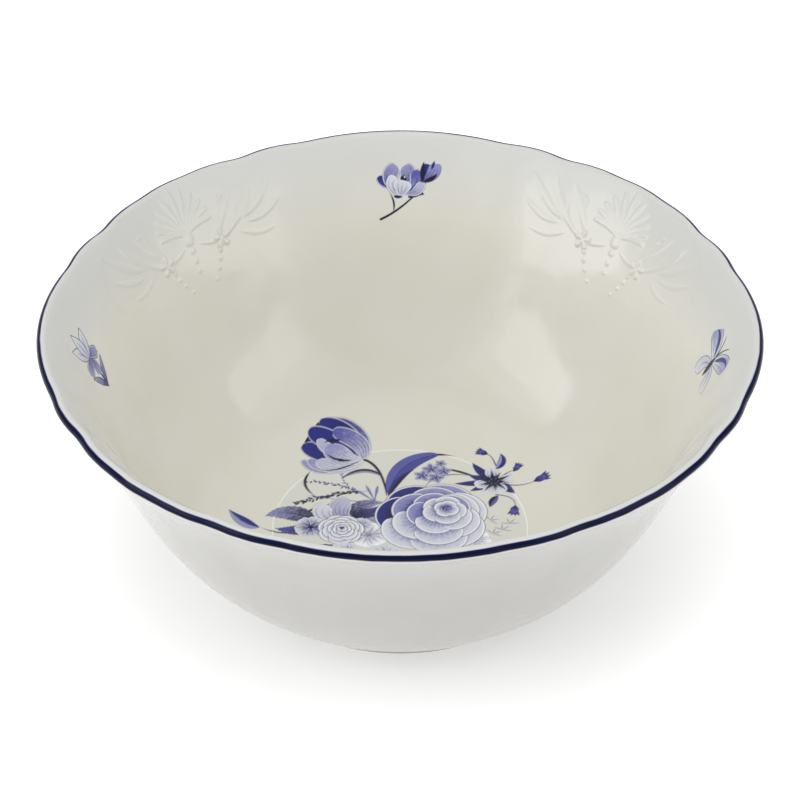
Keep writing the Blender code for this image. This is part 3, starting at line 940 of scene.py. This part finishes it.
class Nodes:
    """Adds nodes to a material and joins them up by socket name."""

    def __init__(self, name):
        self.material = bpy.data.materials.new(name)
        self.material.use_nodes = True
        self.tree = self.material.node_tree
        self.shader = self.tree.nodes["Principled BSDF"]

    def add(self, kind, inputs=None, **settings):
        node = self.tree.nodes.new("ShaderNode" + kind)
        for key, value in settings.items():
            setattr(node, key, value)
        for key, value in (inputs or {}).items():
            self.join(value, node.inputs[key])
        return node

    def join(self, value, socket):
        if isinstance(value, bpy.types.NodeSocket):
            self.tree.links.new(value, socket)
        else:
            socket.default_value = value

    def noise(self, scale, detail=2.0):
        spot = self.add("TexCoord").outputs["Object"]
        return self.add(
            "TexNoise", {"Vector": spot, "Scale": scale, "Detail": detail}
        ).outputs["Fac"]

    def mapped(self, value, low, high, start=0.3, stop=0.7):
        inputs = {"Value": value, "From Min": start, "From Max": stop}
        inputs.update({"To Min": low, "To Max": high})
        return self.add("MapRange", inputs).outputs["Result"]

    def mix(self, share, first, second):
        node = self.add("Mix", data_type="RGBA")
        colours = [s for s in node.inputs if s.type == "RGBA"]
        self.join(share, node.inputs["Factor"])
        self.join(first, colours[0])
        self.join(second, colours[1])
        return [s for s in node.outputs if s.type == "RGBA"][0]


IVORY_LIGHT = (*ink(212, 210, 201), 1.0)
IVORY_WARM = (*ink(208, 206, 194), 1.0)
# Greyer, darker ivory: painted shade for the outside
OUTSIDE_SHADE_LIGHT = (*ink(178, 177, 174), 1.0)
OUTSIDE_SHADE_DEEP = (*ink(173, 172, 168), 1.0)
# Greyer ivory is painted shade on the well's floor; whiter ivory is a painted highlight on the
# crest round it
WELL_PAINTED_SHADE = (*ink(206, 205, 197), 1.0)
RIDGE_PAINTED_HIGHLIGHT = (*ink(228, 228, 222), 1.0)
IVORY_COOL = (*ink(199, 199, 196), 1.0)
BISCUIT = (*ink(214, 208, 194), 1.0)

# Heights between which a tint comes in: the well's painted shade and highlight from below and
# above, and the rim's cooler, darker colour
WELL_FROM = (0.0070, 0.0080)
WELL_TO = (0.0112, 0.0122)
RIM_FROM = (0.069, 0.086)


def well_painted_shade_and_highlight(made, colour):
    """Painted shade makes the well's floor greyer, and a painted highlight makes a whiter line on
    the crest round it.
    """
    parts = made.add("SeparateXYZ", {0: made.add("TexCoord").outputs["Object"]}).outputs
    flat = made.add("CombineXYZ", {"X": parts["X"], "Y": parts["Y"]})
    radius = made.add("VectorMath", {0: flat.outputs[0]}, operation="LENGTH").outputs["Value"]
    edge = WELL_RADIUS - RIDGE_WIDTH
    # Painted shade: greyer colour inside the well's edge
    painted_shade = made.mapped(radius, 1.0, 0.0, edge, edge + RIDGE_WIDTH)
    off = made.add("Math", {0: radius, 1: WELL_RADIUS}, operation="SUBTRACT").outputs[0]
    far = made.add("Math", {0: off}, operation="ABSOLUTE").outputs[0]
    # Painted highlight: whiter colour in a thin line along the crest
    crest = made.mapped(far, 1.0, 0.0, 0.2 * RIDGE_WIDTH, 0.8 * RIDGE_WIDTH)
    low = made.mapped(parts["Z"], 1.0, 0.0, *WELL_TO)
    inside = made.mapped(parts["Z"], 0.0, 1.0, *WELL_FROM)
    here = made.add("Math", {0: low, 1: inside}, operation="MULTIPLY").outputs[0]
    painted_shade = made.add("Math", {0: painted_shade, 1: here}, operation="MULTIPLY").outputs[0]
    crest = made.add("Math", {0: crest, 1: here}, operation="MULTIPLY").outputs[0]
    colour = made.mix(painted_shade, colour, WELL_PAINTED_SHADE)
    return made.mix(crest, colour, RIDGE_PAINTED_HIGHLIGHT)


def rim_tint(made, colour):
    """Colour turns cooler and darker up the wall to the lip."""
    height = made.add("SeparateXYZ", {0: made.add("TexCoord").outputs["Object"]}).outputs["Z"]
    return made.mix(made.mapped(height, 0.0, 1.0, *RIM_FROM), colour, IVORY_COOL)


def glaze(name, inked=False, outside=False, biscuit_below=None, gloss=0.5):
    """Ivory porcelain under clear glaze; inked pieces carry enamel in the glaze."""
    made = Nodes(name)
    shader = made.shader
    colour = made.mix(made.mapped(made.noise(26.0), 0.0, 1.0), IVORY_LIGHT, IVORY_WARM)
    roughness = made.mapped(made.noise(45.0, 3.0), 0.09, 0.14)
    if biscuit_below is None:
        # Painted shade and highlight in the well, then the rim's cooler, darker colour
        colour = rim_tint(made, well_painted_shade_and_highlight(made, colour))
    # Painted shade: where the outside attribute is set, a greyer, darker copy of the ivory stands
    # in for the lesser light on the outside
    if outside:
        share = made.add("Attribute", attribute_name="outside").outputs["Fac"]
        outside_shade = made.mix(made.mapped(made.noise(18.0), 0.0, 1.0), OUTSIDE_SHADE_LIGHT, OUTSIDE_SHADE_DEEP)
        colour = made.mix(share, colour, outside_shade)
    if inked:
        paint = made.add("Attribute", attribute_name="ink")
        bare = made.add("Math", {0: 1.0, 1: paint.outputs["Alpha"]}, operation="SUBTRACT")
        inputs = {0: colour, 1: bare.outputs[0], 2: paint.outputs["Color"]}
        colour = made.add("VectorMath", inputs, operation="MULTIPLY_ADD").outputs[0]
    if biscuit_below is not None:
        spot = made.add("TexCoord").outputs["Object"]
        height = made.add("SeparateXYZ", {0: spot}).outputs["Z"]
        bare = made.mapped(height, 1.0, 0.0, biscuit_below, biscuit_below * 1.3)
        speckle = made.mapped(made.noise(1500.0), 0.94, 1.0)
        clay = made.add("VectorMath", {0: BISCUIT[:3], 3: 1.0}, operation="SCALE")
        made.join(speckle, clay.inputs["Scale"])
        colour = made.mix(bare, colour, clay.outputs[0])
        rough = made.add("Mix")
        made.join(bare, rough.inputs[0])
        made.join(roughness, rough.inputs[2])
        made.join(0.62, rough.inputs[3])
        roughness = rough.outputs[0]
    made.join(colour, shader.inputs["Base Color"])
    made.join(roughness, shader.inputs["Roughness"])
    shader.inputs["IOR"].default_value = 1.48
    shader.inputs["Specular IOR Level"].default_value = gloss
    swell = made.add(
        "Bump", {"Strength": 0.22, "Distance": 0.002, "Height": made.noise(48.0, 1.5)}
    )
    made.join(swell.outputs["Normal"], shader.inputs["Normal"])
    return made.material


def floor_paper():
    made = Nodes("pale floor")
    tone = made.mapped(made.noise(3.0), 0.0, 1.0)
    white = made.mix(tone, (0.93, 0.93, 0.93, 1.0), (0.95, 0.95, 0.95, 1.0))
    made.join(white, made.shader.inputs["Base Color"])
    made.shader.inputs["Roughness"].default_value = 0.9
    made.shader.inputs["Specular IOR Level"].default_value = 0.1
    made.shader.inputs["Emission Color"].default_value = (1.0, 1.0, 1.0, 1.0)
    made.shader.inputs["Emission Strength"].default_value = FLOOR_GLOW
    return made.material


# ------------------------------------------------------------ the object

porcelain = glaze("glazed porcelain", outside=True)
inked_porcelain = glaze("inked porcelain", inked=True)
make_body(porcelain)
make_foot(glaze("porcelain foot", outside=True, biscuit_below=0.0006))
make_band(glaze("cobalt enamel", inked=True, gloss=0.12))

bouquet = skin(
    "bouquet", in_well, (-4.0, 12.0), (56.5, 46.5), 12.0, (340, 290),
    draw_bouquet, inked_porcelain,
)
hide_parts("bouquet_transfer")

# Wall flowers: height and angle of the middle, half sizes, tilt and the drawing
WALL_FLOWERS = {
    "rose_sprig": (0.0767, 89.0, (15.2, 11.2), 42.0, draw_rose_sprig),
    "iris": (0.0738, 176.6, (12.8, 12.4), 30.0, draw_iris),
    "butterfly": (0.0738, 3.0, (12.8, 12.2), 35.0, draw_butterfly),
    "bellflower": (0.0767, 270.0, (11.2, 12.4), 0.0, draw_bellflowers),
}
for name, (height, angle, size, tilt, draw) in WALL_FLOWERS.items():
    flower = skin(
        name, on_wall(height, angle), (0.0, 0.0), size, tilt, (130, 130),
        draw, inked_porcelain,
    )
    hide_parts(name + "_transfer")

for number, angle in enumerate((45.0, 135.0, 225.0, 315.0), start=1):
    skin(
        f"embossed_spray_{number}", on_wall(0.0825, angle), (0.0, -7.0), (45.0, 20.0), 0.0,
        (240, 120), raise_spray, porcelain,
    )


# --------------------------------------------------------------- studio


def make_floor():
    mesh = bpy.data.meshes.new("floor")
    reach = 8.0
    corners = [(-reach, -reach, 0), (reach, -reach, 0), (reach, reach, 0), (-reach, reach, 0)]
    mesh.from_pydata(corners, [], [(0, 1, 2, 3)])
    mesh.materials.append(floor_paper())
    floor = bpy.data.objects.new("floor", mesh)
    bpy.context.scene.collection.objects.link(floor)


def make_light(name, place, size, power, mirrored=True):
    data = bpy.data.lights.new(name, "AREA")
    data.shape = "RECTANGLE"
    data.size, data.size_y = size
    data.energy = power
    light = bpy.data.objects.new(name, data)
    light.location = place
    aim = Vector((0.0, 0.0, 0.03)) - Vector(place)
    light.rotation_mode = "QUATERNION"
    light.rotation_quaternion = aim.to_track_quat("-Z", "Y")
    light.visible_glossy = mirrored
    bpy.context.scene.collection.objects.link(light)


def make_world(strength):
    world = bpy.data.worlds.new("studio")
    world.use_nodes = True
    background = world.node_tree.nodes["Background"]
    background.inputs["Color"].default_value = (1.0, 1.0, 1.0, 1.0)
    background.inputs["Strength"].default_value = strength
    bpy.context.scene.world = world


def make_camera():
    """Looks over the bowl as the object is shown: high, and nearly square to the front."""
    rise = math.radians(CAMERA_RISE)
    turn = Matrix.Rotation(math.radians(CAMERA_TURN), 3, "Z")
    ahead = Vector((0.0, math.cos(rise), -math.sin(rise)))
    up = Vector((0.0, math.sin(rise), math.cos(rise)))
    place = Vector((0.0, 0.0, HEIGHT)) - CAMERA_DISTANCE * ahead - CAMERA_DROP * up
    data = bpy.data.cameras.new("camera")
    data.sensor_width = 36.0
    data.lens = CAMERA_LENS
    camera = bpy.data.objects.new("camera", data)
    camera.location = turn @ place
    camera.rotation_mode = "QUATERNION"
    camera.rotation_quaternion = (turn @ ahead).to_track_quat("-Z", "Y")
    bpy.context.scene.collection.objects.link(camera)
    bpy.context.scene.camera = camera


make_floor()
make_world(WORLD_GLOW)
make_light("overhead", (0.0, -0.2, 2.5), (2.2, 2.2), OVERHEAD, mirrored=False)
# Each softbox is three nested ones, so that its reflection has a soft edge. Each row:
# aside, ahead and height of the middle, length and depth
NESTED = (
    (1.42, 0.50, 0.65, 1.15, 0.78),
    (1.38, 0.62, 0.80, 1.40, 1.12),
    (1.32, 0.76, 0.97, 1.70, 1.50),
)
for number, (aside, ahead, height, length, depth) in enumerate(NESTED, start=1):
    make_light(f"left softbox {number}", (-aside, -ahead, height), (length, depth), LEFT_SOFTBOX)
    make_light(f"right softbox {number}", (aside, -ahead, height), (length, depth), RIGHT_SOFTBOX)
make_camera()
bpy.context.scene.view_settings.view_transform = "Standard"
